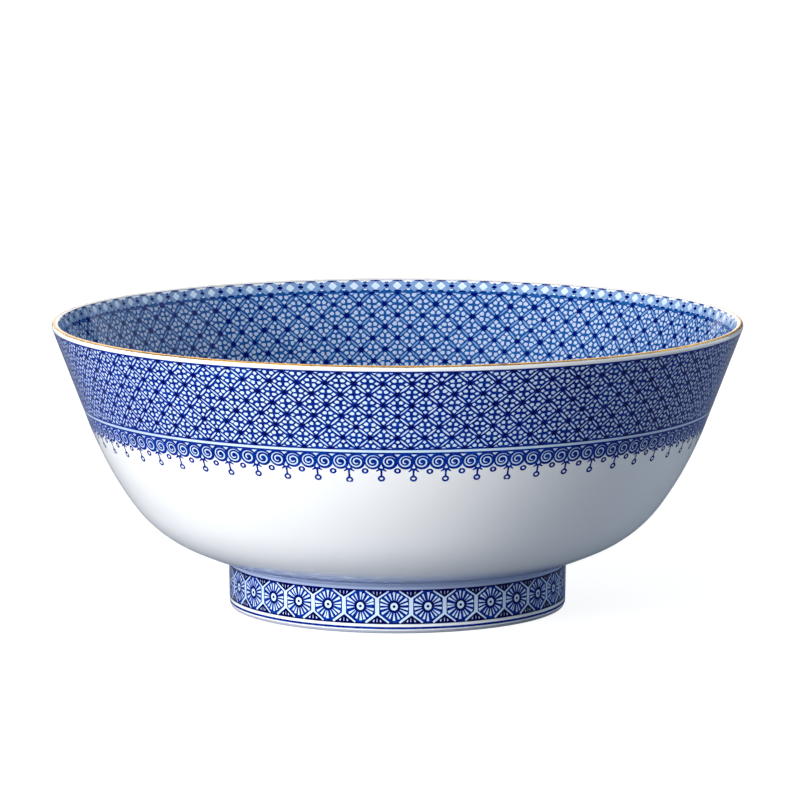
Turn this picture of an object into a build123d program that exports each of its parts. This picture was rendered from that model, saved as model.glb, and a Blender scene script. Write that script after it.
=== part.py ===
from build123d import *

import os
from math import cos, radians, sin

# Footed porcelain serving bowl with blue printed borders and a gilt lip.
# Millimetres, +Z up. The origin is the centre of the foot's resting plane, and the bowl turns about Z.
#
# Every layer follows one cross-section: the glazed surface of the bowl. A layer's inner and outer skins
# are that section moved in or out by the layer's thickness, so neighbouring layers meet face to face.

# Overall size
height = 104.4
rim_radius = 127.0
lip_radius = 1.3

# Layers: glaze and prints reach inwards from the glazed surface, and the gilding stands on it
glaze = 0.3
print_depth = 0.2
gilding_film = 0.25

# Outside of the bowl: a straight flare under the lip, then two arcs, then a base arc centred on the axis
flare_angle = 21.4
flare_length = 37.9
shoulder_radius = 125.0
shoulder_sweep = 15.0
belly_radius = 48.0
belly_sweep = 30.0

# Inside of the bowl: the same run of curves, drawn so that the wall thickens towards the base
inner_flare_length = 36.4
inner_shoulder_radius = 115.0
inner_shoulder_sweep = 16.0
inner_belly_radius = 45.0
inner_belly_sweep = 29.0

# Foot ring
foot_radius = 62.0
foot_wall = 5.0
foot_draft = 0.4
foot_top = 18.5
foot_edge_radius = 0.8
joint_bed = 0.4
joint_bead = 0.9
glaze_stop = 1.0

# Heights of the printed bands, lower edge and upper edge
lattice_band = (73.6, 102.3)
scroll_band = (61.8, 72.7)
foot_band = (3.4, 15.7)
foot_line = (1.6, 2.4)
inner_rim_band = (98.3, 103.2)
inner_lattice_band = (68.8, 98.1)
inner_scroll_band = (56.5, 67.2)

# Gilding round the lip, as angles of the lip's rounding: 0 points straight outwards and 90 straight up
gilding_start = 40.0
gilding_end = 100.0
gilding_facets = 4

# Derived places
glazed_height = height - gilding_film
lip_centre = rim_radius - lip_radius
foot_middle = foot_radius - foot_wall / 2
reach = rim_radius + 10


def base_arc(belly, turned):
    """Last stretch down to the axis, where it arrives level: its centre lies on the axis."""
    left_to_turn = 90 - turned
    radius = (belly @ 1).X / sin(radians(left_to_turn))
    return JernArc(belly @ 1, belly % 1, radius, -left_to_turn)


def outer_side(offset):
    """Outside of the bowl from the crown of the lip to the axis, standing offset proud of the glaze."""
    lip = JernArc((lip_centre, glazed_height + offset), (1, 0), lip_radius + offset, -90 - flare_angle)
    flare = Line(lip @ 1, lip @ 1 + flare_length * (lip % 1))
    shoulder = JernArc(flare @ 1, flare % 1, shoulder_radius + offset, -shoulder_sweep)
    belly = JernArc(shoulder @ 1, shoulder % 1, belly_radius + offset, -belly_sweep)
    return base_arc(belly, flare_angle + shoulder_sweep + belly_sweep)


def inner_side(offset):
    """Inside of the bowl from the crown of the lip to the axis, standing offset proud of the glaze."""
    lip = JernArc((lip_centre, glazed_height + offset), (-1, 0), lip_radius + offset, 90 - flare_angle)
    flare = Line(lip @ 1, lip @ 1 + inner_flare_length * (lip % 1))
    shoulder = JernArc(flare @ 1, flare % 1, inner_shoulder_radius - offset, -inner_shoulder_sweep)
    belly = JernArc(shoulder @ 1, shoulder % 1, inner_belly_radius - offset, -inner_belly_sweep)
    return base_arc(belly, flare_angle + inner_shoulder_sweep + inner_belly_sweep)


def bowl_section(offset):
    """Half section of the bowl wall, without the foot."""
    with BuildSketch(Plane.XZ) as section:
        with BuildLine():
            outside = outer_side(offset)
            inside = inner_side(offset)
            Line(outside @ 1, inside @ 1)
        make_face()
    return section.sketch


def hollow_section(depth):
    """Everything above the inside of the bowl, reaching depth into the wall."""
    with BuildSketch(Plane.XZ) as section:
        with BuildLine():
            inside = inner_side(-depth)
            Polyline(
                inside @ 1,
                (0, height + depth),
                (lip_centre, height + depth),
                (lip_centre, glazed_height - depth),
            )
        make_face()
    return section.sketch


def foot_section(offset):
    """Half section of the foot ring, drawn a little way up into the wall of the bowl."""
    outside = foot_radius + offset
    inside = foot_radius - foot_wall - offset
    with BuildSketch(Plane.XZ) as section:
        with BuildLine():
            Polyline(
                (outside - foot_draft, 0),
                (outside, foot_top),
                (inside, foot_top),
                (inside + foot_draft, 0),
                close=True,
            )
        make_face()
        fillet(section.vertices().group_by(Axis.Y)[0], foot_edge_radius)
    return section.sketch


def joined_section(offset):
    """Bowl and foot together, with a straight bead of slip across the corners between them."""
    with BuildSketch(Plane.XZ) as section:
        add(bowl_section(offset))
        add(foot_section(offset))
        corners = [
            corner
            for corner in section.vertices()
            if glaze_stop < corner.Y < foot_top and abs(corner.X - foot_middle) < foot_wall
        ]
        chamfer(corners, joint_bead)
    return section.sketch


def band_section(low, high):
    """A tall box over the whole radius, for cutting one band out of a skin."""
    with BuildSketch(Plane.XZ) as section:
        with Locations((0, low)):
            Rectangle(reach, high - low, align=(Align.MIN, Align.MIN))
    return section.sketch


def skin_section(low, high, depth):
    """The skin reaching depth inwards from the glazed surface, inside and outside, between two heights."""
    with BuildSketch(Plane.XZ) as section:
        add(joined_section(0))
        add(joined_section(-depth), mode=Mode.SUBTRACT)
        add(band_section(low, high), mode=Mode.INTERSECT)
    return section.sketch


def outer_skin(low, high, depth):
    """The part of the skin that lies on the outside of the bowl and of the foot."""
    with BuildSketch(Plane.XZ) as section:
        add(skin_section(low, high, depth))
        add(hollow_section(lip_radius / 2), mode=Mode.SUBTRACT)
        Rectangle(foot_middle, foot_top, align=(Align.MIN, Align.MIN), mode=Mode.SUBTRACT)
    return section.sketch


def inner_skin(low, high, depth):
    """The part of the skin that lies on the inside of the bowl."""
    with BuildSketch(Plane.XZ) as section:
        add(skin_section(low, high, depth))
        add(hollow_section(lip_radius / 2), mode=Mode.INTERSECT)
    return section.sketch


def lip_facets(radius):
    """Corners of a run of facets touching a circle of this radius round the centre of the lip."""
    step = (gilding_end - gilding_start) / gilding_facets
    corner_radius = radius / cos(radians(step / 2))
    return [
        (
            lip_centre + corner_radius * cos(radians(gilding_start + step * number)),
            glazed_height - lip_radius + corner_radius * sin(radians(gilding_start + step * number)),
        )
        for number in range(gilding_facets + 1)
    ]


# Bowl body: one thrown and turned vessel, from the lip to the middle of the base
with BuildPart() as bowl_body:
    with BuildSketch(Plane.XZ):
        add(bowl_section(-glaze))
    revolve(axis=Axis.Z)

# Foot ring: a separate ring, its top hollowed to follow the underside of the bowl
with BuildPart() as foot_ring:
    with BuildSketch(Plane.XZ):
        add(foot_section(-glaze))
        add(bowl_section(joint_bed - glaze), mode=Mode.SUBTRACT)
    revolve(axis=Axis.Z)

# Slip joint: the bed of slip that lutes the foot to the bowl, squeezed out as a bead on both sides
with BuildPart() as slip_joint:
    with BuildSketch(Plane.XZ):
        add(joined_section(-glaze))
        add(bowl_section(-glaze), mode=Mode.SUBTRACT)
        with BuildSketch(Plane.XZ, mode=Mode.SUBTRACT):
            add(foot_section(-glaze))
            add(bowl_section(joint_bed - glaze), mode=Mode.SUBTRACT)
    revolve(axis=Axis.Z)

# Exterior glaze: from the crown of the lip down to glaze_stop on the foot, with a bed for each outer print
with BuildPart() as exterior_glaze:
    with BuildSketch(Plane.XZ):
        add(outer_skin(glaze_stop, height, glaze))
        for band in (lattice_band, scroll_band, foot_band, foot_line):
            add(outer_skin(*band, print_depth), mode=Mode.SUBTRACT)
    revolve(axis=Axis.Z)

# Interior glaze: from the crown of the lip down to the well, with a bed for each inner print
with BuildPart() as interior_glaze:
    with BuildSketch(Plane.XZ):
        add(inner_skin(glaze_stop, height, glaze))
        for band in (inner_rim_band, inner_lattice_band, inner_scroll_band):
            add(inner_skin(*band, print_depth), mode=Mode.SUBTRACT)
    revolve(axis=Axis.Z)

# Underside glaze: the recess inside the foot
with BuildPart() as underside_glaze:
    with BuildSketch(Plane.XZ):
        add(skin_section(glaze_stop, foot_top, glaze))
        Rectangle(foot_middle, foot_top, align=(Align.MIN, Align.MIN), mode=Mode.INTERSECT)
        add(hollow_section(lip_radius / 2), mode=Mode.SUBTRACT)
    revolve(axis=Axis.Z)

# Printed transfers on the outside, flush with the glaze that they have sunk into
with BuildPart() as lattice_print:
    with BuildSketch(Plane.XZ):
        add(outer_skin(*lattice_band, print_depth))
    revolve(axis=Axis.Z)

with BuildPart() as scroll_print:
    with BuildSketch(Plane.XZ):
        add(outer_skin(*scroll_band, print_depth))
    revolve(axis=Axis.Z)

with BuildPart() as foot_print:
    with BuildSketch(Plane.XZ):
        add(outer_skin(*foot_band, print_depth))
    revolve(axis=Axis.Z)

with BuildPart() as foot_line_print:
    with BuildSketch(Plane.XZ):
        add(outer_skin(*foot_line, print_depth))
    revolve(axis=Axis.Z)

# Printed transfers on the inside
with BuildPart() as inner_rim_print:
    with BuildSketch(Plane.XZ):
        add(inner_skin(*inner_rim_band, print_depth))
    revolve(axis=Axis.Z)

with BuildPart() as inner_lattice_print:
    with BuildSketch(Plane.XZ):
        add(inner_skin(*inner_lattice_band, print_depth))
    revolve(axis=Axis.Z)

with BuildPart() as inner_scroll_print:
    with BuildSketch(Plane.XZ):
        add(inner_skin(*inner_scroll_band, print_depth))
    revolve(axis=Axis.Z)

# Rim gilding: a band of gold fired over the glaze, in narrow facets that touch the round lip
with BuildPart() as rim_gilding:
    with BuildSketch(Plane.XZ):
        with BuildLine():
            under = Polyline(*lip_facets(lip_radius))
            over = Polyline(*lip_facets(lip_radius + gilding_film))
            Line(under @ 0, over @ 0)
            Line(under @ 1, over @ 1)
        make_face()
    revolve(axis=Axis.Z)

pieces = {
    "bowl_body": bowl_body,
    "foot_ring": foot_ring,
    "slip_joint": slip_joint,
    "exterior_glaze": exterior_glaze,
    "interior_glaze": interior_glaze,
    "underside_glaze": underside_glaze,
    "lattice_print": lattice_print,
    "scroll_print": scroll_print,
    "foot_print": foot_print,
    "foot_line_print": foot_line_print,
    "inner_rim_print": inner_rim_print,
    "inner_lattice_print": inner_lattice_print,
    "inner_scroll_print": inner_scroll_print,
    "rim_gilding": rim_gilding,
}

os.makedirs("parts", exist_ok=True)
for name, piece in pieces.items():
    piece.part.label = name
    export_step(piece.part, f"parts/{name}.step")
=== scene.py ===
import math

import bpy
import numpy as np
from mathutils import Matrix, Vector
from mathutils.geometry import delaunay_2d_cdt


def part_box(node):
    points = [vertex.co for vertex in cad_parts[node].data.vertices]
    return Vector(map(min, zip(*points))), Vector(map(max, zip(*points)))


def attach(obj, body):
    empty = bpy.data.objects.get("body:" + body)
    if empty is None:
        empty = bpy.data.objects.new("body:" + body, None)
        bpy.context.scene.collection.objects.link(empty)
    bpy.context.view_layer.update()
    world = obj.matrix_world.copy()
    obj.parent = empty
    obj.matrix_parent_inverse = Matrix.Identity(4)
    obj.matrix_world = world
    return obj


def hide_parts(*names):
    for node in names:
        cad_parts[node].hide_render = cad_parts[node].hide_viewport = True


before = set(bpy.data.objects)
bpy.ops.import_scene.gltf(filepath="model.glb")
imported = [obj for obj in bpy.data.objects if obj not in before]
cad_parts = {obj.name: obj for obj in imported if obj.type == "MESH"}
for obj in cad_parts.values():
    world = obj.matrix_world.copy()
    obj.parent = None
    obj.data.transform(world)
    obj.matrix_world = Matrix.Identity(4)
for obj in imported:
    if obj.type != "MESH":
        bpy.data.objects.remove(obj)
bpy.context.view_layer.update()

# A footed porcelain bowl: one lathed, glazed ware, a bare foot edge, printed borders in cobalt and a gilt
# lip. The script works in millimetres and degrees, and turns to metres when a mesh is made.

MM = 0.001


def node_box(node):
    """Lowest and highest corner of a CAD node, in millimetres."""
    low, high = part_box(node)
    return np.array(low) / MM, np.array(high) / MM


# ---------------------------------------------------------------------------------------------------------
# The glazed surface: the curves of the wall, with the overall sizes taken from the frame
# ---------------------------------------------------------------------------------------------------------

RIM_RADIUS, _, GLAZED_HEIGHT = node_box("exterior_glaze")[1]
GLAZE_STOP = node_box("exterior_glaze")[0][2]
LIP_RADIUS = 1.3
FLARE_ANGLE = 21.4
FOOT_RADIUS = 62.0
FOOT_WALL = 5.0
FOOT_DRAFT = 0.4
FOOT_TOP = 18.5
CURVE_STEP = 0.25


def walk(start, length, turn):
    """Points (radius, height, heading) along one piece of curve that turns evenly over its length."""
    r, z, heading = start
    count = max(2, math.ceil(length / CURVE_STEP))
    points = []
    for number in range(1, count + 1):
        done = number / count
        chord, bend = length * done, math.radians(turn) * done / 2
        if turn:
            chord *= math.sin(bend) / bend
        way = math.radians(heading) + bend
        points.append((r + chord * math.cos(way), z + chord * math.sin(way), heading + turn * done))
    return points


class Side:
    """One side of the bowl's wall, from the crown of the lip to the axis, with its outward normals.

    It sets off at heading, follows the pieces (length, turn), and ends with an arc round the axis that
    arrives there at level_heading. normal_turn leads from a heading to the normal.
    """

    def __init__(self, heading, level_heading, normal_turn, pieces):
        points = [(RIM_RADIUS - LIP_RADIUS, GLAZED_HEIGHT, heading)]
        for length, turn in pieces:
            points += walk(points[-1], length, turn)
        rest = level_heading - points[-1][2]
        radius = points[-1][0] / math.sin(math.radians(abs(rest)))
        points += walk(points[-1], radius * math.radians(abs(rest)), rest)
        points = np.array(points)
        self.points = points[:, :2]
        facing = np.radians(points[:, 2] + normal_turn)
        self.normals = np.stack([np.cos(facing), np.sin(facing)], axis=1)
        steps = np.hypot(*np.diff(self.points, axis=0).T)
        self.along = np.concatenate([[0], np.cumsum(steps)])

    def at(self, along, lift=0.0):
        """Points (radius, height) and normals at distances along the curve, raised by lift."""
        point = np.stack([np.interp(along, self.along, self.points[:, k]) for k in (0, 1)], axis=-1)
        normal = np.stack([np.interp(along, self.along, self.normals[:, k]) for k in (0, 1)], axis=-1)
        return point + normal * np.asarray(lift)[..., None], normal

    def at_height(self, z):
        """Distance along the curve at which it has dropped to this height."""
        return float(np.interp(-z, -self.points[:, 1], self.along))

    def at_radius(self, r):
        """Distance along the curve at which it has come in to this radius, below the lip."""
        return float(np.interp(-r, -self.points[:, 0], self.along))


def arc(radius, sweep):
    """Length and turn of a round piece of wall that curls in towards the axis."""
    return radius * math.radians(sweep), -sweep


OUTER_LIP = arc(LIP_RADIUS, 90 + FLARE_ANGLE)
OUTER_FLARE, OUTER_SHOULDER, OUTER_BELLY = (37.9, 0), arc(125, 15), arc(48, 30)
OUTSIDE = Side(0, -180, 90, [OUTER_LIP, OUTER_FLARE, OUTER_SHOULDER, OUTER_BELLY])

INNER_LIP = (LIP_RADIUS * math.radians(90 - FLARE_ANGLE), 90 - FLARE_ANGLE)
INNER_FLARE, INNER_SHOULDER, INNER_BELLY = (36.4, 0), arc(115, 16), arc(45, 29)
INSIDE = Side(180, 180, -90, [INNER_LIP, INNER_FLARE, INNER_SHOULDER, INNER_BELLY])


# ---------------------------------------------------------------------------------------------------------
# Meshes
# ---------------------------------------------------------------------------------------------------------

def make_piece(name, points, faces, materials, stands_for, face_materials=None, normals=None):
    """A smooth mesh piece from points in millimetres, riding on the bowl and standing for CAD nodes."""
    mesh = bpy.data.meshes.new(name)
    mesh.from_pydata((np.asarray(points) * MM).tolist(), [], faces)
    for material in materials:
        mesh.materials.append(material)
    if face_materials is not None:
        mesh.polygons.foreach_set("material_index", face_materials)
    mesh.polygons.foreach_set("use_smooth", [True] * len(mesh.polygons))
    if normals is not None:
        mesh.normals_split_custom_set_from_vertices(normals.tolist())
    mesh.update()
    piece = bpy.data.objects.new(name, mesh)
    bpy.context.scene.collection.objects.link(piece)
    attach(piece, "root")
    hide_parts(*stands_for)


def lathe(outline, segments):
    """Points and faces of a closed turned solid. An outline end on the axis becomes one point."""
    outline = np.asarray(outline)
    closed = outline[0][0] > 0
    rings, points, faces = [], [], []
    angles = np.arange(segments) * math.tau / segments
    for r, z in outline:
        around = angles if r > 0 else angles[:1]
        rings.append([len(points) + number for number in range(len(around))])
        points += [(r * math.sin(t), -r * math.cos(t), z) for t in around]
    pairs = list(zip(rings, rings[1:] + rings[:1])) if closed else list(zip(rings, rings[1:]))
    for ring, following in pairs:
        for number in range(segments):
            after = (number + 1) % segments
            if len(ring) == 1:
                faces.append((ring[0], following[after], following[number]))
            elif len(following) == 1:
                faces.append((ring[number], ring[after], following[0]))
            else:
                faces.append((ring[number], ring[after], following[after], following[number]))
    return points, faces


def eased(start, corner, end, count):
    """A soft corner: points of the quadratic curve from start to end that the corner pulls outwards."""
    start, corner, end = (np.array(p, dtype=float) for p in (start, corner, end))
    t = np.linspace(0, 1, count)[:, None]
    return list(start * (1 - t) ** 2 + corner * 2 * t * (1 - t) + end * t ** 2)


# ---------------------------------------------------------------------------------------------------------
# Materials
# ---------------------------------------------------------------------------------------------------------

def tint(red, green, blue):
    """A colour given in display values of 0 to 255, as the linear colour that a shader takes."""
    return tuple((value / 255) ** 2.2 for value in (red, green, blue)) + (1.0,)


class Shader:
    """A material with a Principled surface, and short ways to add nodes to it."""

    def __init__(self, name):
        self.material = bpy.data.materials.new(name)
        self.material.use_nodes = True
        self.nodes = self.material.node_tree.nodes
        self.links = self.material.node_tree.links
        self.surface = self.nodes["Principled BSDF"]
        self.coordinates = self.nodes.new("ShaderNodeTexCoord")
        self.place = self.coordinates.outputs["Object"]

    def put(self, target, value):
        """Feeds an input from another node's output, or sets it to a plain value."""
        if isinstance(value, bpy.types.NodeSocket):
            self.links.new(value, target)
        else:
            target.default_value = value

    def noise(self, size, detail=3.0, roughness=0.5):
        """Noise with features of this size in millimetres."""
        node = self.nodes.new("ShaderNodeTexNoise")
        self.links.new(self.place, node.inputs["Vector"])
        node.inputs["Scale"].default_value = 1 / (size * MM)
        node.inputs["Detail"].default_value = detail
        node.inputs["Roughness"].default_value = roughness
        return node.outputs["Fac"]

    def specks(self, size):
        """Distance to the nearest of a field of scattered points, this far apart in millimetres."""
        node = self.nodes.new("ShaderNodeTexVoronoi")
        self.links.new(self.place, node.inputs["Vector"])
        node.inputs["Scale"].default_value = 1 / (size * MM)
        return node.outputs["Distance"]

    def height(self):
        """Height above the resting plane, in metres."""
        node = self.nodes.new("ShaderNodeSeparateXYZ")
        self.links.new(self.place, node.inputs[0])
        return node.outputs["Z"]

    def facing_up(self):
        """How far the surface faces up: 1 for level, 0 for upright, negative for an underside."""
        node = self.nodes.new("ShaderNodeSeparateXYZ")
        self.links.new(self.coordinates.outputs["Normal"], node.inputs[0])
        return node.outputs["Z"]

    def slant(self):
        """How far the surface is turned away from the eye: 0 for face on, 1 for edge on."""
        return self.nodes.new("ShaderNodeLayerWeight").outputs["Facing"]

    def ramp(self, value, low, high, out_low=0.0, out_high=1.0):
        """Value carried smoothly from the range low..high to out_low..out_high, and held at its ends."""
        node = self.nodes.new("ShaderNodeMapRange")
        node.interpolation_type = "SMOOTHSTEP"
        for name, item in zip(("Value", "From Min", "From Max", "To Min", "To Max"),
                              (value, low, high, out_low, out_high)):
            self.put(node.inputs[name], item)
        return node.outputs["Result"]

    def times(self, first, second):
        node = self.nodes.new("ShaderNodeMath")
        node.operation = "MULTIPLY"
        self.put(node.inputs[0], first)
        self.put(node.inputs[1], second)
        return node.outputs[0]

    def mix(self, factor, first, second):
        node = self.nodes.new("ShaderNodeMix")
        node.data_type = "RGBA"
        self.put(node.inputs["Factor"], factor)
        self.put(node.inputs["A"], first)
        self.put(node.inputs["B"], second)
        return node.outputs["Result"]

    def bump(self, value, depth):
        """Bends the surface's normals by a height field of this depth in millimetres."""
        node = self.nodes.new("ShaderNodeBump")
        node.inputs["Distance"].default_value = depth * MM
        node.inputs["Strength"].default_value = 1.0
        self.links.new(value, node.inputs["Height"])
        self.links.new(node.outputs["Normal"], self.surface.inputs["Normal"])

    def set(self, **inputs):
        for name, value in inputs.items():
            self.put(self.surface.inputs[name.replace("_", " ")], value)


def glaze_finish(shader):
    """Glossy glaze: even gloss with faint hazy patches, and a surface that ripples slightly."""
    gloss = shader.ramp(shader.noise(18), 0.35, 0.7, 0.045, 0.09)
    shader.set(Roughness=gloss, IOR=1.52)
    shader.bump(shader.noise(22, detail=1.0), 0.05)


def porcelain_material():
    """White glazed porcelain, faintly blue where cobalt has bled into it, with a painted bluish shade on the
    surfaces just above the foot.
    """
    pendants = 5.5
    bleeding = 0.8
    edge = 0.5 * MM
    shader = Shader("glazed_porcelain")
    colour = shader.mix(shader.noise(35), tint(240, 241, 243), tint(247, 247, 246))
    outside = shader.ramp(shader.facing_up(), 0.02, 0.12, 1.0, 0.0)
    slanted = shader.ramp(shader.slant(), 0.15, 0.6, 0.0, 0.4)
    pale_blue = shader.mix(slanted, tint(200, 228, 250), tint(88, 128, 200))
    zones = (
        ("scroll_print", "lattice_print", pendants, bleeding),
        ("foot_print", "foot_print", 0, shader.times(outside, bleeding)),
    )
    for lower, upper, skirt, where in zones:
        low, high = (node_box(lower)[0][2] + skirt) * MM, node_box(upper)[1][2] * MM
        above = shader.ramp(shader.height(), low - edge, low + edge)
        below = shader.ramp(shader.height(), high - edge, high + edge, 1.0, 0.0)
        bled = shader.times(shader.times(above, below), where)
        colour = shader.mix(bled, colour, pale_blue)
    corner = node_box("slip_joint")[0][2] * MM
    # Painted shade: the surfaces that do not face up, just above the foot, are made darker and bluer,
    # standing in for the bluish shade that falls there.
    painted_shade_above_foot = shader.ramp(shader.height(), corner + 4 * MM, corner + 9.5 * MM, 1.0, 0.0)
    above_foot = shader.ramp(shader.height(), corner - edge, corner + edge)
    painted_shade_above_foot = shader.times(shader.times(painted_shade_above_foot, above_foot), outside)
    colour = shader.mix(painted_shade_above_foot, colour, tint(172, 188, 224))
    grains = shader.ramp(shader.specks(5), 0.02, 0.06, 0.35, 0.0)
    colour = shader.mix(grains, colour, tint(190, 186, 176))
    shader.set(Base_Color=colour)
    glaze_finish(shader)
    return shader.material


def cobalt_material(name, deep, thin):
    """Cobalt print under the gloss: deep where the ink lies thick, lighter where it has washed out."""
    shader = Shader(name)
    wash = shader.mix(shader.ramp(shader.noise(0.9, 4.0, 0.6), 0.3, 0.72), deep, thin)
    drift = shader.ramp(shader.noise(28), 0.3, 0.7, 0.0, 0.5)
    shader.set(Base_Color=shader.mix(drift, wash, deep), Specular_IOR_Level=0.1)
    glaze_finish(shader)
    return shader.material


def gold_material():
    """Burnished gold, thinner and duller in places along the brushed band."""
    shader = Shader("burnished_gold")
    worn = shader.ramp(shader.noise(3.5, 4.0, 0.6), 0.45, 0.75)
    shader.set(
        Base_Color=shader.mix(worn, tint(206, 154, 70), tint(132, 92, 40)),
        Metallic=1.0,
        Roughness=shader.ramp(shader.noise(2.0, 3.0), 0.3, 0.7, 0.24, 0.38),
    )
    shader.bump(shader.noise(1.5, 2.0), 0.015)
    return shader.material


def biscuit_material():
    """Bare fired porcelain on the foot's resting edge: matt and grainy, coloured in uneven dark bluish greys
    that are painted shadow where the foot meets the floor.
    """
    shader = Shader("bare_porcelain_in_painted_shadow")
    # Painted shadow: both tones are dark bluish greys that stand in for the contact shadow along the resting
    # edge.
    shadow_patches = shader.ramp(shader.noise(2.5, 5.0, 0.7), 0.5, 0.8)
    shader.set(
        Base_Color=shader.mix(shadow_patches, tint(158, 164, 180), tint(112, 118, 138)),
        Roughness=shader.ramp(shader.noise(0.5), 0.3, 0.7, 0.5, 0.75),
    )
    shader.bump(shader.noise(0.25, 4.0), 0.04)
    return shader.material


# ---------------------------------------------------------------------------------------------------------
# The ware
# ---------------------------------------------------------------------------------------------------------

SEGMENTS = 384


def spaced(start, end, gap):
    """Evenly spaced values from start to end, no further apart than gap."""
    return np.linspace(start, end, max(2, math.ceil(abs(end - start) / gap) + 1))


def foot_side(sign):
    """Radius of the foot's outer (sign 1) or inner (sign -1) wall as a function of height."""
    middle = FOOT_RADIUS - FOOT_WALL / 2
    return lambda z: middle + sign * (FOOT_WALL / 2 - FOOT_DRAFT * (1 - z / FOOT_TOP))


def foot_corner(wall, sign):
    """The glaze gathered where the foot's wall meets the underside of the bowl, from underside to wall."""
    reach = 1.3
    count = 9
    corner_along = OUTSIDE.at_radius(wall(FOOT_TOP))
    corner = OUTSIDE.at(corner_along)[0]
    on_bowl = OUTSIDE.at(OUTSIDE.at_radius(corner[0] + sign * reach))[0]
    on_wall = (wall(corner[1] - reach), corner[1] - reach)
    return eased(on_bowl, corner, on_wall, count)


def ware_outline():
    """The whole glazed section, from the axis under the bowl, round the foot and the lip, to the well."""
    outer, inner = foot_side(1), foot_side(-1)
    outer_corner, inner_corner = foot_corner(outer, 1), foot_corner(inner, -1)
    edge = 0.3
    under_gap, foot_gap, outer_gap, lip_gap, inner_gap = 3.0, 1.6, 1.5, 0.25, 1.8
    outer_lip_end, inner_lip_end = OUTER_LIP[0], INNER_LIP[0]
    under = OUTSIDE.at(spaced(OUTSIDE.along[-1], OUTSIDE.at_radius(inner_corner[0][0]), under_gap))[0]
    down_inner = [(inner(z), z) for z in spaced(inner_corner[-1][1], GLAZE_STOP + edge, foot_gap)[1:]]
    up_outer = [(outer(z), z) for z in spaced(GLAZE_STOP + edge, outer_corner[-1][1], foot_gap)[:-1]]
    inner_foot = eased(down_inner[-1], (inner(GLAZE_STOP), GLAZE_STOP), (inner(0) + edge, GLAZE_STOP), 4)
    outer_foot = eased((outer(0) - edge, GLAZE_STOP), (outer(GLAZE_STOP), GLAZE_STOP), up_outer[0], 4)
    up_bowl = OUTSIDE.at(spaced(OUTSIDE.at_radius(outer_corner[0][0]), outer_lip_end, outer_gap)[1:-1])[0]
    over_lip = OUTSIDE.at(spaced(outer_lip_end, 0, lip_gap))[0]
    into_lip = INSIDE.at(spaced(0, inner_lip_end, lip_gap)[1:])[0]
    down_bowl = INSIDE.at(spaced(inner_lip_end, INSIDE.along[-1], inner_gap)[1:])[0]
    outline = [
        *under[:-1], *inner_corner, *down_inner[:-1], *inner_foot, *outer_foot, *up_outer[1:],
        *outer_corner[::-1], *up_bowl, *over_lip, *into_lip, *down_bowl,
    ]
    outline[0] = (0.0, outline[0][1])
    outline[-1] = (0.0, outline[-1][1])
    return outline


def make_ware(material):
    """Body, slip and glazes as one lathed skin."""
    points, faces = lathe(ware_outline(), SEGMENTS)
    stands_for = ["bowl_body", "slip_joint", "exterior_glaze", "interior_glaze", "underside_glaze"]
    make_piece("glazed_bowl", points, faces, [material], stands_for)


def make_foot_edge(material):
    """The bare ring that the bowl stands on, set back under the edge of the glaze."""
    outer, inner = foot_side(1), foot_side(-1)
    set_back, rounding = 0.3, 0.7
    top = GLAZE_STOP + 0.2
    right, left = outer(0) - set_back, inner(0) + set_back
    outline = [
        (left, top),
        *eased((left, rounding), (left, 0), (left + rounding, 0), 6),
        *eased((right - rounding, 0), (right, 0), (right, rounding), 6),
        (right, top),
    ]
    points, faces = lathe(outline, SEGMENTS)
    make_piece("bare_foot_edge", points, faces, [material], ["foot_ring"])


def make_gilding(material):
    """A brushed band of gold over the crown of the lip, both of its edges wandering slightly."""
    segments, film = 768, 0.06
    top_points, under_points = 14, 3
    outer_end = LIP_RADIUS * math.radians(50)
    inner_end = LIP_RADIUS * math.radians(7)
    rng = np.random.default_rng(11)
    angles = np.arange(segments) * math.tau / segments

    def wander(amount):
        """A smooth closed wave of random harmonics round the rim."""
        wave = np.zeros(segments)
        for turns in (7, 13, 22, 41, 67):
            wave += np.sin(turns * angles + rng.uniform(0, math.tau)) * rng.uniform(0.4, 1)
        return amount * wave / 2

    outer_ends, inner_ends = outer_end + wander(0.05), inner_end + wander(0.02)

    def on_lip(place, number, lift):
        """A point of the band. Place runs from -1 at its outer edge over the crown to 1 at its inner edge."""
        side, end = (OUTSIDE, outer_ends[number]) if place < 0 else (INSIDE, inner_ends[number])
        return side.at(abs(place) * end, lift)[0]

    top = np.linspace(-1, 1, top_points)
    under = np.linspace(1, -1, under_points + 2)[1:-1]
    points, faces = [], []
    for number, angle in enumerate(angles):
        places = [on_lip(place, number, film * math.sqrt(1 - abs(place) ** 6)) for place in top]
        places += [on_lip(place, number, -film) for place in under]
        points += [(r * math.sin(angle), -r * math.cos(angle), z) for r, z in places]
    ring = top_points + under_points
    for number in range(segments):
        here, there = number * ring, (number + 1) % segments * ring
        for k in range(ring):
            following = (k + 1) % ring
            faces.append((here + k, there + k, there + following, here + following))
    make_piece("rim_gold", points, faces, [material], ["rim_gilding"])


# ---------------------------------------------------------------------------------------------------------
# Printed drawings: flat shapes in millimetres, x to the right and y down, painted one over another
# ---------------------------------------------------------------------------------------------------------

# Tones, as numbers in a print's list of materials. BARE is no ink at all. The last tone is painted shade, not
# ink: a pale blue-grey that stands in for white glaze in shade.
BARE, LINE, DEEP, PALE, SHADED_WHITE = None, 0, 1, 2, 3

# How the triangulation works: only what the outlines enclose, with points closer than this made one
INSIDE_ONLY, MERGED = 1, 1e-3

# Where the left edge of a drawing starts: a print outside from the front, a print inside from the back
FROM_FRONT, FROM_BACK = -1, 1


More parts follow.
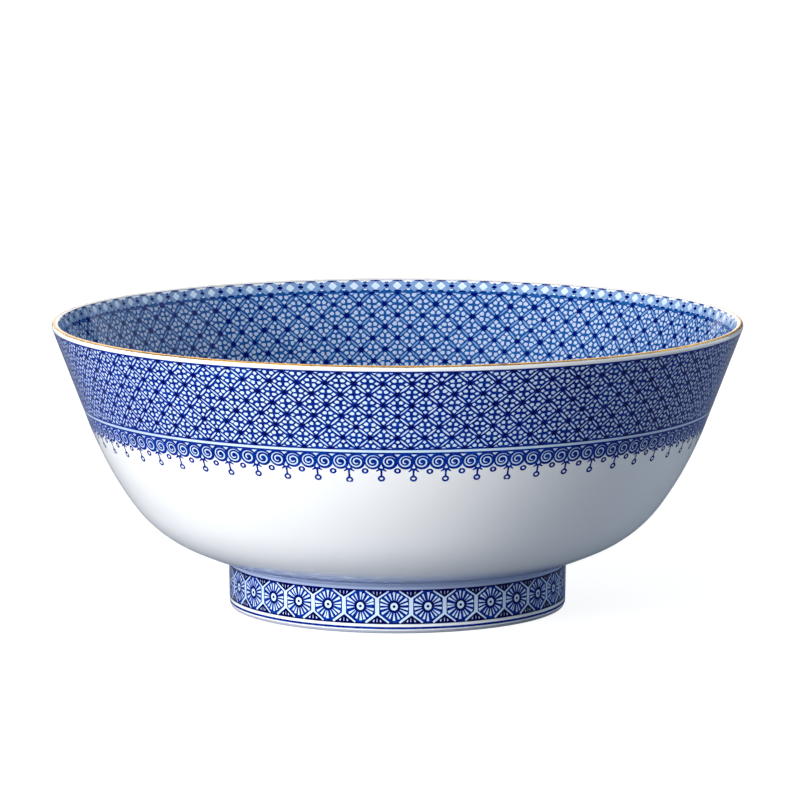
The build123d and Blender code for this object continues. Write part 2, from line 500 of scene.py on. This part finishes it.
class Drawing:
    """Shapes painted in order, each hiding what lies under it. A BARE shape leaves the glaze showing."""

    def __init__(self, across, tall):
        self.across = across
        self.tall = tall
        self.shapes = []

    def paint(self, tone, points):
        """Adds a shape, turned so that its outline runs the way round that the triangulation wants."""
        points = np.asarray(points, dtype=float)
        x, y = points.T
        if np.dot(x, np.roll(y, -1)) < np.dot(y, np.roll(x, -1)):
            points = points[::-1]
        self.shapes.append((tone, points))

    def ground(self, tone, top, bottom):
        """A strip that runs all the way round, its edges with enough points to bend round the wall."""
        spare = 9
        xs = spaced(-spare, self.across + spare, 1.6)
        self.paint(tone, [*((x, top) for x in xs), *((x, bottom) for x in xs[::-1])])

    def triangles(self, left, right, gap):
        """Points, triangles and tones of the ink between two uprights, with inner points every gap.

        The first outline is the frame of this stretch. Ink is kept inside it, in the tone of the topmost
        shape.
        """
        xs, ys = spaced(left, right, gap), spaced(0, self.tall, gap)
        frame_points = [*((x, 0) for x in xs), *((right, y) for y in ys[1:-1])]
        frame_points += [*((x, self.tall) for x in xs[::-1]), *((left, y) for y in ys[-2:0:-1])]
        outlines = [np.array(frame_points, dtype=float)]
        tones = [BARE]
        for tone, points in self.shapes:
            if points[:, 0].max() > left and points[:, 0].min() < right:
                outlines.append(points)
                tones.append(tone)
        points = [Vector(p) for outline in outlines for p in outline]
        starts = np.cumsum([0] + [len(outline) for outline in outlines])
        faces = [list(range(a, b)) for a, b in zip(starts[:-1], starts[1:])]
        for x in xs[1:-1]:
            points += [Vector((x, y)) for y in ys[1:-1]]
        places, _, found, _, _, owners_of = delaunay_2d_cdt(points, [], faces, INSIDE_ONLY, MERGED, True)
        kept, kept_tones = [], []
        for face, owners in zip(found, owners_of):
            tone = tones[max(owners)] if 0 in owners else BARE
            if tone is not BARE:
                kept.append(face)
                kept_tones.append(tone)
        used, kept = np.unique(np.array(kept), return_inverse=True)
        flat = np.array([places[number][:] for number in used])
        return flat, kept.reshape(-1, 3), kept_tones


def open_edges(triangles, count):
    """The directed edges that only one triangle has."""
    edges = np.concatenate([triangles[:, [0, 1]], triangles[:, [1, 2]], triangles[:, [2, 0]]])
    forward, backward = edges[:, 0] * count + edges[:, 1], edges[:, 1] * count + edges[:, 0]
    return edges[~np.isin(forward, backward)]


def print_band(name, drawing, side, top, start, sections, materials, stands_for):
    """Lays a drawing round the wall as a thin closed film, in sections like a real transfer's.

    top is the distance along the side at which the drawing starts, and start is FROM_FRONT or FROM_BACK.
    A film that would run all the way round in one section keeps a hair's gap at its seam.
    """
    lift, root = 0.03, -0.03
    mesh_gap = 1.8
    seam = 0.01 if sections == 1 else 0.0
    for section in range(sections):
        left, right = (drawing.across * (section + k) / sections - k * seam for k in (0, 1))
        flat, triangles, tones = drawing.triangles(left, right, mesh_gap)
        angle = flat[:, 0] / drawing.across * math.tau
        points, normals = [], []
        for rise in (lift, root):
            place, normal = side.at(top + flat[:, 1], rise)
            for (outward, upward), store in ((place.T, points), (normal.T, normals)):
                x, y = outward * np.sin(angle), start * outward * np.cos(angle)
                store.append(np.stack([x, y, upward], 1))
        count = len(flat)
        upper = triangles[:, ::-1]
        edges = open_edges(upper, count)
        walls = np.stack([edges[:, 1], edges[:, 0], edges[:, 0] + count, edges[:, 1] + count], axis=1)
        faces = upper.tolist() + (triangles + count).tolist() + walls.tolist()
        tone_of = tones + tones + [LINE] * len(walls)
        make_piece(f"{name}_{section + 1}", np.concatenate(points), faces, materials,
                   stands_for, tone_of, np.concatenate(normals))


def oval(x, y, half_width, half_height, count):
    t = np.arange(count) * math.tau / count
    return np.stack([x + half_width * np.cos(t), y + half_height * np.sin(t)], 1)


def diamond(x, y, half_width, half_height):
    return np.array([(x, y - half_height), (x + half_width, y), (x, y + half_height), (x - half_width, y)])


def softened(points, cut=0.25):
    """The shape with each corner cut off, at this share of its sides."""
    points = np.asarray(points, dtype=float)
    after = np.roll(points, -1, axis=0)
    return np.stack([points * (1 - cut) + after * cut, points * cut + after * (1 - cut)], 1).reshape(-1, 2)


def ribbon(path, half_widths):
    """The outline of a stroke along a path of points, with a half width at each."""
    path, half_widths = np.asarray(path, dtype=float), np.asarray(half_widths, dtype=float)
    way = np.gradient(path, axis=0)
    way /= np.hypot(way[:, 0], way[:, 1])[:, None]
    out = np.stack([-way[:, 1], way[:, 0]], 1) * half_widths[:, None]
    return np.concatenate([path + out, (path - out)[::-1]])


def spindle(start, end, half_width, trim):
    """A slim bar between two points, pointed at both ends, which stop short by trim of its length."""
    start, end = np.array(start), np.array(end)
    t = np.array([trim, 0.32, 0.5, 0.68, 1 - trim])[:, None]
    widths = half_width * np.array([0.22, 0.85, 1.0, 0.85, 0.22])
    return ribbon(start + (end - start) * t, widths)


def star(x, y, inner, outer, rays, turn):
    """A star whose rays reach from inner to outer, the first one turned by this many degrees."""
    angles = math.radians(turn) + np.arange(2 * rays) * math.pi / rays
    radii = np.where(np.arange(2 * rays) % 2, inner, outer)
    return np.stack([x + radii * np.cos(angles), y + radii * np.sin(angles)], 1)


# White shapes of one quarter of a lattice diamond, as shares of its half width and half height
LOBE = np.array([(0.07, 0.09), (0.33, 0.07), (0.48, 0.22), (0.26, 0.46), (0.07, 0.37)])
SIDE_LOZENGE = np.array([(0.37, 0.0), (0.56, -0.19), (0.77, 0.0), (0.56, 0.19)])
END_LOZENGE = np.array([(0.0, 0.40), (0.19, 0.60), (0.0, 0.81), (-0.19, 0.60)])


def lattice_drawing(count, rows, across, tall, seed, bar_tone, lobe_tone, blot, opening):
    """A trellis of crossing bars with a small cross of four lobes and four lozenges in each diamond.

    Every shape wanders a little, as engraved work does. blot is the size of the dark star at each
    crossing, and opening scales the white shapes.
    """
    drawing = Drawing(across, tall)
    border = 0.5
    half_pitch = across / count / 2
    half_row = (tall - 2 * border) / rows
    cell = np.array([half_pitch, half_row])
    wobble = np.random.default_rng(seed).normal(0, 1, (rows + 1, count, 14, 4)).clip(-2, 2)
    flips = [np.array(flip) for flip in ((1, 1), (-1, 1), (1, -1), (-1, -1))]
    drawing.ground(LINE, 0, tall)

    def white(points, centre, loose):
        """Paints one white shape clear of both borders, unless the clipping leaves it too flat."""
        middle = points.mean(axis=0)
        points = middle + (points - middle) * opening * (1 + 0.07 * loose[2:])
        points = centre + points * cell + loose[:2] * 0.10
        points[:, 1] = points[:, 1].clip(border + 0.15, tall - border - 0.15)
        if np.ptp(points[:, 1]) > 0.35:
            drawing.paint(lobe_tone, softened(points, 0.12))

    for row in range(rows + 1):
        y = border + row * half_row
        for number in range(-1, count + 1):
            loose = wobble[row, number % count]
            centre = np.array([(number + 0.5 * ((row + 1) % 2)) * 2 * half_pitch, y])
            for k, flip in enumerate(flips):
                white(LOBE * flip, centre, loose[k])
            for k, flip in enumerate(flips[:2]):
                white(SIDE_LOZENGE * flip, centre, loose[4 + k])
            for k, flip in enumerate((flips[0], flips[2])):
                white(END_LOZENGE * flip, centre, loose[6 + k])
            node = np.array([(number + 0.5 * (row % 2)) * 2 * half_pitch, y])
            if row < rows:
                for k, way in enumerate((-1, 1)):
                    end = node + (way * half_pitch, half_row)
                    shift = loose[8 + k][:2] * 0.07
                    width = 0.285 * (1 + 0.12 * loose[8 + k][2])
                    drawing.paint(bar_tone, spindle(node + shift, end + shift, width, 0.19))
            size = blot * (1 + 0.10 * loose[10][0])
            points = star(*(node + loose[10][1:3] * 0.08), size * 0.62, size, 8, 22.5 + 6 * loose[10][3])
            points[:, 1] = points[:, 1].clip(0.1, tall - 0.1)
            drawing.paint(DEEP, points)
    return drawing


def rim_drawing(count, across, tall, seed):
    """A single row of trellis: pale ribbons cross round white diamonds, with dark diamonds in the gaps."""
    drawing = Drawing(across, tall)
    half = across / count / 2
    middle = 2.4
    top_end, bottom_end = 0.1, tall + 0.2
    wobble = np.random.default_rng(seed).normal(0, 1, (count, 6, 3)).clip(-2, 2)
    drawing.ground(LINE, 0.05, tall)
    for number in range(-1, count + 1):
        x = number * half * 2
        for way in (-1, 1):
            for end in (top_end, bottom_end):
                path = [(x + way * 0.08 * half, end), (x + way * half * 0.92, middle)]
                drawing.paint(PALE, ribbon(path, [0.8, 0.75]))
        drawing.paint(PALE, diamond(x, middle, 2.8, 2.1))
    for number in range(-1, count + 1):
        x = number * half * 2
        loose = wobble[number % count]
        centre = np.array([x, middle]) + loose[0][:2] * (0.12, 0.08)
        drawing.paint(BARE, softened(diamond(*centre, 1.9, 1.62), 0.12))
        drawing.paint(DEEP, oval(x + loose[1][0] * 0.1, 0.34, 1.85, 0.33, 12))
        drawing.paint(DEEP, oval(x + loose[2][0] * 0.2, tall - 0.15, 1.5 + 0.15 * loose[2][1], 0.5, 14))
        gap = x + half
        drawing.paint(BARE, [(gap - 0.95, 0.16), (gap + 0.95, 0.16), (gap, 1.05 + 0.1 * loose[3][0])])
        drawing.paint(DEEP, softened(diamond(gap, middle, 1.35 + 0.12 * loose[5][0], 0.85)))
        drawing.paint(BARE, oval(gap + loose[4][0] * 0.1, tall - 0.85, 0.75, 0.32, 10))
    return drawing


def paint_small_ring(drawing, x, y, loose):
    ring_y = y + 1.85 + 0.12 * loose[2][0]
    drawing.paint(LINE, oval(x, ring_y, 1.26, 1.12, 16))
    drawing.paint(BARE, oval(x, ring_y, 0.46, 0.46, 12))


def paint_pendant(drawing, x, y, loose):
    """A wedge between two spirals, two short arms, and a stem with a ring at its end."""
    wedge = [(x - 1.0, y - 0.3), (x + 1.0, y - 0.3), (x + 1.25, y + 1.3), (x - 1.25, y + 1.3)]
    drawing.paint(LINE, softened(wedge))
    fall = 1.9 + 0.12 * loose[3][0]
    for way in (-1, 1):
        arm = [(x, y + 0.85), (x + way * 0.9, y + 1.25), (x + way * 1.8, y + fall)]
        drawing.paint(LINE, ribbon(arm, [0.36, 0.38, 0.20]))
    ring_y = y + 4.95 + 0.2 * loose[4][0]
    stem = [(x, y + 1.0), (x + 0.03 * loose[5][0], y + 2.6), (x, ring_y - 0.9)]
    drawing.paint(LINE, ribbon(stem, [0.46, 0.33, 0.40]))
    drawing.paint(LINE, [(x - 0.75, ring_y - 0.8), (x, ring_y - 1.55), (x + 0.75, ring_y - 0.8)])
    drawing.paint(LINE, oval(x, ring_y, 1.32, 1.22, 18))
    drawing.paint(BARE, oval(x, ring_y, 0.62, 0.48, 12))
    drop = [(x, y - 0.55), (x + 0.72, y + 0.45), (x, y + 0.78), (x - 0.72, y + 0.45)]
    drawing.paint(BARE, softened(drop))


def scroll_drawing(count, across, tall, seed):
    """Running spirals on a dark ground, with a ringed pendant and a small ring hanging between by turns."""
    drawing = Drawing(across, tall)
    pitch = across / count
    radius = pitch / 2 * 1.05
    line = 0.62
    centre_y = line + radius + 0.12
    start_angle, whole_turn = -35, 625
    wobble = np.random.default_rng(seed).normal(0, 1, (count, 6, 3)).clip(-2, 2)
    drawing.ground(LINE, 0, line)
    drawing.ground(LINE, 0.02, centre_y)
    for number in range(-1, count + 1):
        x = (number + 0.5) * pitch
        drawing.paint(LINE, oval(x, centre_y, radius, radius, 28))
    for number in range(-1, count + 1):
        x = (number + 0.5) * pitch
        loose = wobble[number % count]
        turns = np.linspace(0, 1, 34)
        angle = math.radians(start_angle) - turns * math.radians(whole_turn + 25 * loose[0][0])
        reach = radius * (0.87 - 0.66 * turns) * (1 + 0.03 * loose[0][1])
        path = np.stack([x + reach * np.cos(angle), centre_y + reach * np.sin(angle) * 0.98], 1)
        widths = 0.26 * np.interp(turns, [0, 0.15, 0.3, 0.9, 1], [0.25, 0.7, 1, 0.9, 0.5])
        drawing.paint(BARE, ribbon(path, widths))
        gap = x + pitch / 2
        peak = 0.07 * loose[1][0]
        drawing.paint(BARE, [(gap - 1.05, line + 0.08), (gap + 1.05, line + 0.08), (gap + peak, line + 1.05)])
        foot = centre_y + radius * 0.62
        if number % 2:
            paint_small_ring(drawing, gap, foot, loose)
        else:
            paint_pendant(drawing, gap, foot, loose)
    return drawing


# Share of a hexagon by which the first one stands off the front
OFF_FRONT = 0.1


def foot_drawing(count, across, tall, seed):
    """Long hexagons side by side, a many-petalled rosette in each, and a few strokes in the gaps.

    The bars between hexagons have half widths bar (upright) and slant_bar (slanting), upright is half the
    length of an upright bar, and flat half the length of a hexagon's level side. heart is where petals
    begin.
    """
    drawing = Drawing(across, tall)
    pitch = across / count
    half = pitch / 2
    middle = tall / 2 - 0.15
    border = 0.5
    bar, slant_bar, upright, flat = 0.72, 0.29, 2.75, 1.9
    slope = (half - flat) / (middle - border - upright)
    petals, heart = 18, 2.35
    spread = math.pi / petals
    wobble = np.random.default_rng(seed).normal(0, 1, (count, 30, 3)).clip(-2, 2)
    drawing.ground(LINE, 0, tall)
    for top in (0, tall - border):
        drawing.ground(DEEP, top, top + border)
    for number in range(-1, count + 1):
        x = (number - OFF_FRONT) * pitch
        loose = wobble[number % count]
        edge = x + half
        drawing.paint(BARE, ribbon([(edge, middle - upright), (edge, middle + upright)], [bar, bar]))
        for down in (-1, 1):
            knee = middle + down * (upright - 0.1)
            end = tall / 2 + down * (tall / 2 - border)
            drawing.paint(DEEP, [(edge, knee), (edge - half + flat, end), (edge + half - flat, end)])
            for way in (-1, 1):
                path = [(edge, knee), (edge + way * (half - flat), end)]
                width = slant_bar * (1.45 if down > way else 1.0)
                drawing.paint(BARE, ribbon(path, [width * 1.05, width * 0.9]))
            for k, way in enumerate((-1, 0, 1)):
                tall_stroke = 1.15 if way == 0 else 0.75
                base = tall / 2 + down * (tall / 2 - border - 0.3)
                tip = base - down * tall_stroke
                slip = way * 1.45 + 0.10 * loose[20 + k][0]
                heel_width = (0.20 if way else 0.12) * (1.4 if down > 0 else 1.0)
                stroke = [(edge + slip, base), (edge + slip * 0.75, tip)]
                drawing.paint(BARE, ribbon(stroke, [heel_width, 0.07]))
        for petal in range(petals):
            angle = math.tau * (petal + 0.5) / petals + 0.035 * loose[petal][0]
            way = np.array([math.cos(angle), math.sin(angle)])
            slant = abs(way[0]) + slope * abs(way[1])
            reach = min(
                (half - bar - 0.4) / max(abs(way[0]), 1e-6),
                (middle - border - 0.4) / max(abs(way[1]), 1e-6),
                (half + slope * upright - 1.25 * math.hypot(1, slope) * (slant_bar + 0.5)) / slant,
            ) * (1 + 0.02 * loose[petal][1])
            half_tip = reach * spread - 0.42 + 0.05 * loose[petal][2]
            half_heel = max(heart * spread - 0.33, 0.07)
            aside = np.array([-way[1], way[0]])
            tip, heel = (np.array([x, middle]) + way * distance for distance in (reach, heart))
            drawing.paint(BARE, [
                heel - aside * half_heel, heel + aside * half_heel,
                tip + aside * half_tip, tip - aside * half_tip,
            ])
        drawing.paint(DEEP, oval(x, middle, 2.10, 2.10, 28))
        drawing.paint(BARE, oval(x, middle, 1.34, 1.40, 22))
        drawing.paint(DEEP, oval(x, middle, 0.52, 0.52, 12))
    return drawing


def line_drawing(across, tall):
    """One plain line all the way round."""
    drawing = Drawing(across, tall)
    drawing.ground(LINE, 0, tall)
    return drawing


def band(side, node):
    """Distance along the side at the top of a CAD print, the drawing's width there, and its height."""
    low, high = node_box(node)
    top, bottom = side.at_height(high[2]), side.at_height(low[2])
    radius = side.at((top + bottom) / 2)[0][0]
    return top, radius * math.tau, bottom - top


class FootSide:
    """The foot's outer wall, read like a Side: distance is measured down from the top of the foot."""

    def at(self, along, lift=0.0):
        along = np.asarray(along, dtype=float)
        z = FOOT_TOP - along
        lift = np.broadcast_to(lift, along.shape)
        point = np.stack([foot_side(1)(z) + lift, z], axis=-1)
        normal = np.stack([np.ones_like(z), np.zeros_like(z)], axis=-1)
        return point, normal

    def at_height(self, z):
        return FOOT_TOP - z


def make_prints():
    """Every printed band, with its own drawing."""
    navy = cobalt_material("cobalt_line", tint(0, 6, 98), tint(0, 70, 178))
    deep = cobalt_material("cobalt_deep", tint(0, 0, 60), tint(0, 6, 94))
    soft = cobalt_material("cobalt_soft", tint(20, 68, 138), tint(46, 100, 166))
    dark = cobalt_material("cobalt_node", tint(0, 16, 92), tint(2, 34, 116))
    wash = cobalt_material("cobalt_wash", tint(112, 146, 194), tint(142, 172, 214))
    # Painted shade: not ink but a pale blue-grey for the white shapes inside the bowl, standing in for the
    # shade on the inner wall.
    shaded_white = cobalt_material("painted_shade_white", tint(168, 188, 216), tint(196, 211, 233))
    outer, inner = [navy, deep], [soft, dark, wash, shaded_white]
    foot = FootSide()
    sections, foot_sections, whole = 6, 2, 1

    top, across, tall = band(OUTSIDE, "lattice_print")
    drawing = lattice_drawing(78, 7, across, tall, seed=3, bar_tone=BARE, lobe_tone=BARE,
                              blot=1.05, opening=0.81)
    print_band("lattice_ink", drawing, OUTSIDE, top, FROM_FRONT, sections, outer, ["lattice_print"])

    top, across, tall = band(OUTSIDE, "scroll_print")
    drawing = scroll_drawing(126, across, tall, seed=5)
    print_band("scroll_ink", drawing, OUTSIDE, top, FROM_FRONT, sections, outer, ["scroll_print"])

    top, across, tall = band(foot, "foot_print")
    drawing = foot_drawing(32, across, tall, seed=7)
    print_band("foot_ink", drawing, foot, top, FROM_FRONT, foot_sections, outer, ["foot_print"])

    top, across, tall = band(foot, "foot_line_print")
    drawing = line_drawing(across, tall)
    print_band("foot_line_ink", drawing, foot, top, FROM_FRONT, whole, outer, ["foot_line_print"])

    # The two upper drawings inside start a little above their CAD bands
    rim_rise, lattice_rise = 0.65, 1.4
    top, across, tall = band(INSIDE, "inner_rim_print")
    top -= rim_rise
    tall = band(INSIDE, "inner_lattice_print")[0] - lattice_rise - top
    drawing = rim_drawing(91, across, tall, seed=9)
    print_band("inner_rim_ink", drawing, INSIDE, top, FROM_BACK, sections, inner, ["inner_rim_print"])

    top, across, tall = band(INSIDE, "inner_lattice_print")
    top, tall = top - lattice_rise, tall + lattice_rise
    # The white lobes inside take the painted-shade tone, not bare glaze.
    drawing = lattice_drawing(76, 7, across, tall, seed=13, bar_tone=PALE, lobe_tone=SHADED_WHITE,
                              blot=1.35, opening=0.90)
    print_band("inner_lattice_ink", drawing, INSIDE, top, FROM_BACK, sections, inner, ["inner_lattice_print"])

    top, across, tall = band(INSIDE, "inner_scroll_print")
    drawing = scroll_drawing(120, across, tall, seed=15)
    print_band("inner_scroll_ink", drawing, INSIDE, top, FROM_BACK, sections, inner, ["inner_scroll_print"])


# ---------------------------------------------------------------------------------------------------------
# Floor, light and camera
# ---------------------------------------------------------------------------------------------------------

def make_floor():
    """A pale floor that reads as an even white sheet but throws only a little light back on the bowl.

    Its own glow grows away from the bowl, so that the sheet stays white where the lamps don't reach it.
    """
    half = 6.0
    corners = [(-half, -half, 0), (half, -half, 0), (half, half, 0), (-half, half, 0)]
    mesh = bpy.data.meshes.new("floor")
    mesh.from_pydata(corners, [], [(0, 1, 2, 3)])
    floor = bpy.data.objects.new("floor", mesh)
    bpy.context.scene.collection.objects.link(floor)
    material = bpy.data.materials.new("pale_floor")
    material.use_nodes = True
    nodes, links = material.node_tree.nodes, material.node_tree.links
    nodes.clear()
    seen, bounced, glow = (nodes.new(kind) for kind in (
        "ShaderNodeBsdfDiffuse", "ShaderNodeBsdfDiffuse", "ShaderNodeEmission"))
    seen.inputs["Color"].default_value = (0.30, 0.30, 0.30, 1)
    bounced.inputs["Color"].default_value = (0.38, 0.415, 0.47, 1)
    glow.inputs["Color"].default_value = (1, 1, 1, 1)
    place, measure, far = (nodes.new(kind) for kind in (
        "ShaderNodeTexCoord", "ShaderNodeVectorMath", "ShaderNodeMapRange"))
    measure.operation = "LENGTH"
    links.new(place.outputs["Object"], measure.inputs[0])
    links.new(measure.outputs["Value"], far.inputs["Value"])
    for name, value in (("From Min", 0.3), ("From Max", 1.2), ("To Min", 0.87), ("To Max", 1.05)):
        far.inputs[name].default_value = value
    links.new(far.outputs["Result"], glow.inputs["Strength"])
    both, pick, ray = (nodes.new(kind) for kind in (
        "ShaderNodeAddShader", "ShaderNodeMixShader", "ShaderNodeLightPath"))
    out = nodes.new("ShaderNodeOutputMaterial")
    links.new(seen.outputs[0], both.inputs[0])
    links.new(glow.outputs[0], both.inputs[1])
    links.new(ray.outputs["Is Camera Ray"], pick.inputs["Fac"])
    links.new(bounced.outputs[0], pick.inputs[1])
    links.new(both.outputs[0], pick.inputs[2])
    links.new(pick.outputs[0], out.inputs["Surface"])
    mesh.materials.append(material)


def make_softbox(name, azimuth, elevation, distance, size, power, colour):
    """A square light aimed at the bowl. Azimuth 0 is the camera's side, and grows to the right."""
    turn, rise = math.radians(azimuth), math.radians(elevation)
    aim = Vector((0, 0, 0.05))
    place = aim + distance * Vector((
        math.cos(rise) * math.sin(turn), -math.cos(rise) * math.cos(turn), math.sin(rise)))
    lamp = bpy.data.lights.new(name, "AREA")
    lamp.size = size
    lamp.energy = power
    lamp.color = colour
    light = bpy.data.objects.new(name, lamp)
    bpy.context.scene.collection.objects.link(light)
    light.location = place
    light.rotation_euler = (aim - place).to_track_quat("-Z", "Y").to_euler()


def make_lights():
    """The key stands at the left, and the fills keep the other sides from going black."""
    make_softbox("key_softbox", -44, 16, 1.9, 1.0, 51, (1.0, 0.995, 0.985))
    make_softbox("top_fill", 0, 89, 2.2, 1.6, 8, (0.95, 0.97, 1.0))
    make_softbox("back_fill", 190, 24, 2.4, 2.0, 22, (0.95, 0.97, 1.0))
    make_softbox("right_fill", 109, 12, 2.2, 2.6, 36, (0.76, 0.88, 1.0))


def make_world():
    """A dim room whose pale back wall shows in reflections only. The camera itself sees white."""
    world = bpy.data.worlds.new("studio")
    world.use_nodes = True
    nodes, links = world.node_tree.nodes, world.node_tree.links
    background = nodes["Background"]
    background.inputs["Color"].default_value = (0.80, 0.88, 1.0, 1)
    place, split, ray = (nodes.new(kind) for kind in (
        "ShaderNodeTexCoord", "ShaderNodeSeparateXYZ", "ShaderNodeLightPath"))
    links.new(place.outputs["Generated"], split.inputs[0])
    factor = ray.outputs["Is Glossy Ray"]
    for axis, low, high in (("Y", -0.1, 0.25), ("Z", 0.2, 0.5)):
        climb, product = nodes.new("ShaderNodeMapRange"), nodes.new("ShaderNodeMath")
        climb.interpolation_type = "SMOOTHSTEP"
        climb.inputs["From Min"].default_value = low
        climb.inputs["From Max"].default_value = high
        links.new(split.outputs[axis], climb.inputs["Value"])
        product.operation = "MULTIPLY"
        links.new(factor, product.inputs[0])
        links.new(climb.outputs["Result"], product.inputs[1])
        factor = product.outputs[0]
    level = nodes.new("ShaderNodeMapRange")
    level.inputs["To Min"].default_value = 0.05
    level.inputs["To Max"].default_value = 0.75
    links.new(factor, level.inputs["Value"])
    links.new(level.outputs["Result"], background.inputs["Strength"])
    backdrop, pick = nodes.new("ShaderNodeBackground"), nodes.new("ShaderNodeMixShader")
    backdrop.inputs["Color"].default_value = (1, 1, 1, 1)
    backdrop.inputs["Strength"].default_value = 1.05
    links.new(ray.outputs["Is Camera Ray"], pick.inputs["Fac"])
    links.new(background.outputs[0], pick.inputs[1])
    links.new(backdrop.outputs[0], pick.inputs[2])
    links.new(pick.outputs[0], nodes["World Output"].inputs["Surface"])
    bpy.context.scene.world = world


def shift_at_home(camera, home, name, shift):
    """Shifts the frame only while the camera stands at home, so that from elsewhere it looks straight."""
    metres_off = 0.1
    curve = camera.data.driver_add(name)
    curve.driver.type = "SUM"
    away = curve.driver.variables.new()
    away.type = "LOC_DIFF"
    away.targets[0].id, away.targets[1].id = camera, home
    for modifier in list(curve.modifiers):
        curve.modifiers.remove(modifier)
    for distance, value in ((0.0, shift), (metres_off, 0.0)):
        curve.keyframe_points.insert(distance, value).interpolation = "LINEAR"


def make_camera():
    """A long lens held level, with its frame shifted down, so that upright edges stay upright."""
    data = bpy.data.cameras.new("camera")
    data.sensor_width = 36.0
    data.lens = 232.416
    data.clip_end = 50
    camera = bpy.data.objects.new("camera", data)
    home = bpy.data.objects.new("camera_place", None)
    for item in (camera, home):
        bpy.context.scene.collection.objects.link(item)
        item.location = (0, -1.900, 0.3467)
    camera.rotation_euler = (math.radians(90), 0, 0)
    shift_at_home(camera, home, "shift_x", 0.003125)
    shift_at_home(camera, home, "shift_y", -0.92519)
    bpy.context.scene.camera = camera


make_ware(porcelain_material())
make_foot_edge(biscuit_material())
make_gilding(gold_material())
make_prints()
make_floor()
make_lights()
make_world()
make_camera()
bpy.context.scene.view_settings.view_transform = "Standard"
